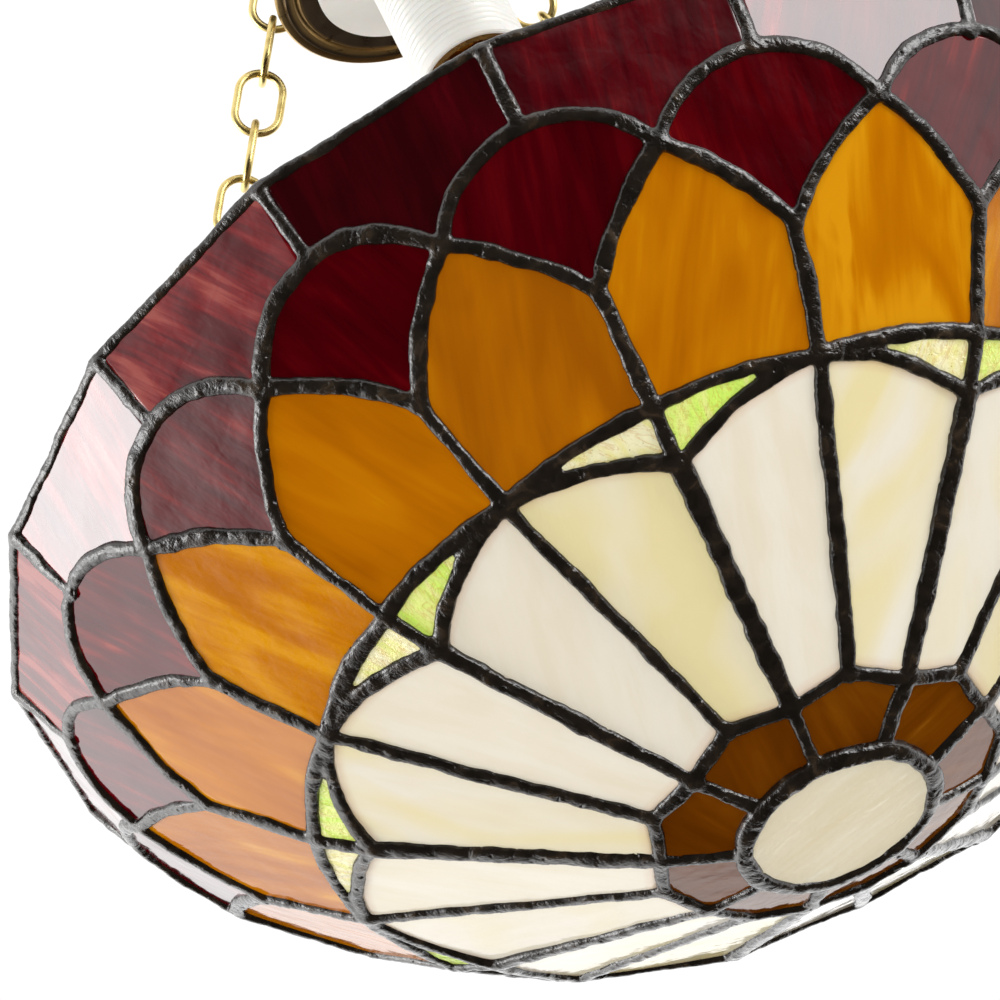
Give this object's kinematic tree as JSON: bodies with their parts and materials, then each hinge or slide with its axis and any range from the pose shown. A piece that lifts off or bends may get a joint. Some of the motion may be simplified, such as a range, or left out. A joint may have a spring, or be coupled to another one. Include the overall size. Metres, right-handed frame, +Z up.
{
  "type": "ceiling lamp",
  "caption": "Hanging ceiling lamp: an upturned faceted bowl of leaded art glass in a petal pattern, held by three link chains below a brass rose, with a screw lampholder above it.",
  "frame": {"origin": "middle of the ceiling face, halfway between the two ceiling screw holes", "axes": "+Z up into the ceiling, -Y the front, where a seam of the bowl faces"},
  "size_m": [0.4278, 0.4336, 0.4614],
  "materials": {
    "disc_glass": "opal, pale amber",
    "hub_glass": "translucent dark amber",
    "petal_glass": "cream opal with soft yellow streaks",
    "leaf_glass": "rippled yellow-green",
    "flame_glass": "streaky orange opal",
    "scallop_glass": "streaky dark red and plum",
    "rim_glass": "streaky deep red",
    "solder": "lumpy solder with a glossy black-bronze patina",
    "chain_brass": "polished, slightly aged",
    "antique_brass": "antique, brushed and lacquered",
    "zinc_steel": "zinc plated",
    "socket_brass": "bright",
    "white_plastic": "white, satin",
    "ceramic": "white, unglazed",
    "block_plastic": "natural nylon",
    "brown_insulation": "brown",
    "blue_insulation": "blue",
    "green_insulation": "green and yellow"
  },
  "bodies": {
    "mount": {"ceiling_rose": "antique_brass", "ceiling_bracket": "zinc_steel", "earth_screw": "socket_brass", "terminal_block": "block_plastic", "threaded_rod": "zinc_steel", "upper_rod_nut": "zinc_steel", "lower_rod_nut": "zinc_steel", "rose_nut": "antique_brass", "rod_sleeve": "antique_brass", "stepped_cap": "antique_brass", "holder_flange": "white_plastic", "holder_dome": "white_plastic", "holder_skirt": "white_plastic", "contact_insert": "ceramic", "screw_shell": "socket_brass", "chain_eyes": "chain_brass", "eye_nuts": "chain_brass", "live_wire": "brown_insulation", "neutral_wire": "blue_insulation", "earth_wire": "green_insulation"},
    "bowl": {"centre_disc": "disc_glass", "hub_panels": "hub_glass", "petal_panels": "petal_glass", "leaf_panels": "leaf_glass", "flame_panels": "flame_glass", "scallop_panels": "scallop_glass", "rim_panels": "rim_glass", "inner_solder": "solder", "middle_solder": "solder", "outer_solder": "solder", "centre_solder": "solder", "rim_came": "solder", "bowl_loops": "chain_brass"},
    "chain_left": {"chain_left": "chain_brass"},
    "chain_right": {"chain_right": "chain_brass"},
    "chain_back": {"chain_back": "chain_brass"},
    "contact": {"centre_contact": "socket_brass"}
  },
  "joints": [
    {"name": "bowl_twist", "type": "hinge", "parent": "mount", "child": "bowl", "pos_m": [0, 0, -0.317], "axis": [0, 0, 1], "range_deg": [-5, 5], "stiffness_Nm_per_rad": 0.57},
    {"name": "chain_left_swing", "type": "hinge", "parent": "mount", "child": "chain_left", "pos_m": [-0.03438, -0.01985, -0.0441], "axis": [-0.7488, -0.4323, 0.5025], "range_deg": [-3.3, 3.3]},
    {"name": "chain_right_swing", "type": "hinge", "parent": "mount", "child": "chain_right", "pos_m": [0.03438, -0.01985, -0.0441], "axis": [0.7488, -0.4323, 0.5025], "range_deg": [-3.3, 3.3]},
    {"name": "chain_back_swing", "type": "hinge", "parent": "mount", "child": "chain_back", "pos_m": [0, 0.0397, -0.0441], "axis": [0, 0.8646, 0.5025], "range_deg": [-3.3, 3.3]},
    {"name": "contact_spring", "type": "slide", "parent": "mount", "child": "contact", "axis": [0, 0, 1], "range_m": [0, 0.0015], "stiffness_N_per_m": 2500, "springref_m": -0.0005}
  ],
  "couplings": [
    {"joint": "chain_left_swing", "follows": "bowl_twist", "ratio": 0.62825},
    {"joint": "chain_right_swing", "follows": "bowl_twist", "ratio": 0.62825},
    {"joint": "chain_back_swing", "follows": "bowl_twist", "ratio": 0.62825}
  ]
}
